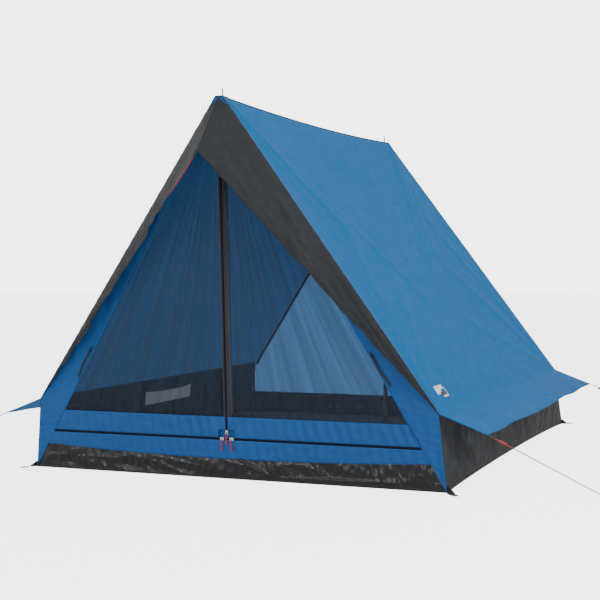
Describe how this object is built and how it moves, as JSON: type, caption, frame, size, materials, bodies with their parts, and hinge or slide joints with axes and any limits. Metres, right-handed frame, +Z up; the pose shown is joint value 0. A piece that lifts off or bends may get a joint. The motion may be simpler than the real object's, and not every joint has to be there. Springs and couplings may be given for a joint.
{
  "type": "frame tent",
  "caption": "Small ridge tent on two upright steel poles, with a black tub floor, low side walls, eave flaps, mesh doors with three zips, a door canopy and corner guylines.",
  "frame": {"origin": "middle of the groundsheet's underside, on the ground", "axes": "+Z up, -Y towards the door, +X to the right seen from the door"},
  "size_m": [2.6716, 2.1707, 1.329],
  "materials": {
    "tub_sheet": "woven coated sheet, glossy",
    "wall_fabric": "coated polyester",
    "hood_fabric": "coated polyester",
    "roof_fabric": "coated polyester taffeta",
    "front_fabric": "polyester taffeta",
    "mesh": "fine insect mesh",
    "binding": "woven tape",
    "webbing": "polypropylene webbing",
    "brass": "plated",
    "zip_tape": "nylon coil zip",
    "zip_metal": "die cast",
    "pull_tag": "red cord tag",
    "label": "plain woven patch",
    "tie": "elastic and toggle",
    "pole_steel": "plated steel tube",
    "pole_plastic": "moulded foot",
    "cord": "braided cord",
    "runner": "moulded runner"
  },
  "bodies": {
    "tent": {"corner_eyelets": "brass", "corner_loops": "webbing", "door_ties": "tie", "eave_left": "roof_fabric", "eave_right": "roof_fabric", "floor_sheet": "tub_sheet", "front_edge_binding": "binding", "front_panel_left": "front_fabric", "front_panel_right": "front_fabric", "front_peak": "front_fabric", "front_sill": "front_fabric", "guyline_front_left": "cord", "guyline_front_right": "cord", "guyline_rear_left": "cord", "guyline_rear_right": "cord", "hood_cord": "cord", "hood_left": "hood_fabric", "hood_right": "hood_fabric", "inner_pocket": "label", "peg_eyes": "cord", "pull_out_tabs": "webbing", "rear_wall": "roof_fabric", "ridge_grommets": "brass", "ridge_tape": "binding", "roof_label": "label", "roof_left": "roof_fabric", "roof_right": "roof_fabric", "side_wall_left": "wall_fabric", "side_wall_right": "wall_fabric", "sill_zip": "zip_tape", "tub_front": "tub_sheet", "tub_rear": "tub_sheet"},
    "door_left": {"door_left_mesh": "mesh", "door_left_band": "front_fabric", "door_left_zip_side": "zip_tape", "door_left_zip_bottom": "zip_tape"},
    "door_right": {"door_right_mesh": "mesh", "door_right_band": "front_fabric", "door_right_zip_side": "zip_tape", "door_right_zip_bottom": "zip_tape"},
    "door_slider": {"door_zip_slider": "zip_metal"},
    "door_pull": {"door_zip_pull": "pull_tag"},
    "sill_slider_left": {"sill_zip_slider_left": "zip_metal"},
    "sill_pull_left": {"sill_zip_pull_left": "pull_tag"},
    "sill_slider_right": {"sill_zip_slider_right": "zip_metal"},
    "sill_pull_right": {"sill_zip_pull_right": "pull_tag"},
    "front_pole": {"front_pole_lower": "pole_steel", "front_pole_middle": "pole_steel", "front_pole_upper": "pole_steel", "front_pole_foot": "pole_plastic", "front_pole_spike": "pole_steel"},
    "rear_pole": {"rear_pole_lower": "pole_steel", "rear_pole_middle": "pole_steel", "rear_pole_upper": "pole_steel", "rear_pole_foot": "pole_plastic", "rear_pole_spike": "pole_steel"},
    "runner_front_left": {"tensioner_front_left": "runner"},
    "runner_front_right": {"tensioner_front_right": "runner"},
    "runner_rear_left": {"tensioner_rear_left": "runner"},
    "runner_rear_right": {"tensioner_rear_right": "runner"}
  },
  "joints": [
    {"name": "door_right_swing", "type": "hinge", "parent": "tent", "child": "door_right", "pos_m": [0.775, -0.95, 0], "axis": [-0.5118, -0.033, 0.8585], "range_deg": [0, 50]},
    {"name": "door_left_swing", "type": "hinge", "parent": "tent", "child": "door_left", "pos_m": [-0.775, -0.95, 0], "axis": [-0.5118, 0.033, -0.8585], "range_deg": [0, 50]},
    {"name": "door_zip_slide", "type": "slide", "parent": "tent", "child": "door_slider", "axis": [0, -0.0384, 0.9993], "range_m": [0, 0.98]},
    {"name": "door_pull_swing", "type": "hinge", "parent": "door_slider", "child": "door_pull", "pos_m": [0, -0.96127, 0.1602], "axis": [-1, 0, 0], "range_deg": [0, 75]},
    {"name": "sill_zip_slide_left", "type": "slide", "parent": "tent", "child": "sill_slider_left", "axis": [-1, 0, 0], "range_m": [0, 0.64]},
    {"name": "sill_pull_swing_left", "type": "hinge", "parent": "sill_slider_left", "child": "sill_pull_left", "pos_m": [-0.018, -0.9604, 0.1378], "axis": [-1, 0, 0], "range_deg": [0, 75]},
    {"name": "sill_zip_slide_right", "type": "slide", "parent": "tent", "child": "sill_slider_right", "axis": [1, 0, 0], "range_m": [0, 0.64]},
    {"name": "sill_pull_swing_right", "type": "hinge", "parent": "sill_slider_right", "child": "sill_pull_right", "pos_m": [0.018, -0.9604, 0.1378], "axis": [-1, 0, 0], "range_deg": [0, 75]},
    {"name": "front_pole_swing", "type": "hinge", "parent": "tent", "child": "front_pole", "pos_m": [0, -0.96798, 1.299], "axis": [1, 0, 0], "range_deg": [0, 35]},
    {"name": "rear_pole_swing", "type": "hinge", "parent": "tent", "child": "rear_pole", "pos_m": [0, 0.725, 1.299], "axis": [-1, 0, 0], "range_deg": [0, 35]},
    {"name": "runner_slide_front_left", "type": "slide", "parent": "tent", "child": "runner_front_left", "axis": [-0.9028, 0, -0.43], "range_m": [0, 0.25]},
    {"name": "runner_slide_front_right", "type": "slide", "parent": "tent", "child": "runner_front_right", "axis": [0.9028, 0, -0.43], "range_m": [0, 0.25]},
    {"name": "runner_slide_rear_left", "type": "slide", "parent": "tent", "child": "runner_rear_left", "axis": [-0.9028, 0, -0.43], "range_m": [0, 0.25]},
    {"name": "runner_slide_rear_right", "type": "slide", "parent": "tent", "child": "runner_rear_right", "axis": [0.9028, 0, -0.43], "range_m": [0, 0.25]}
  ]
}
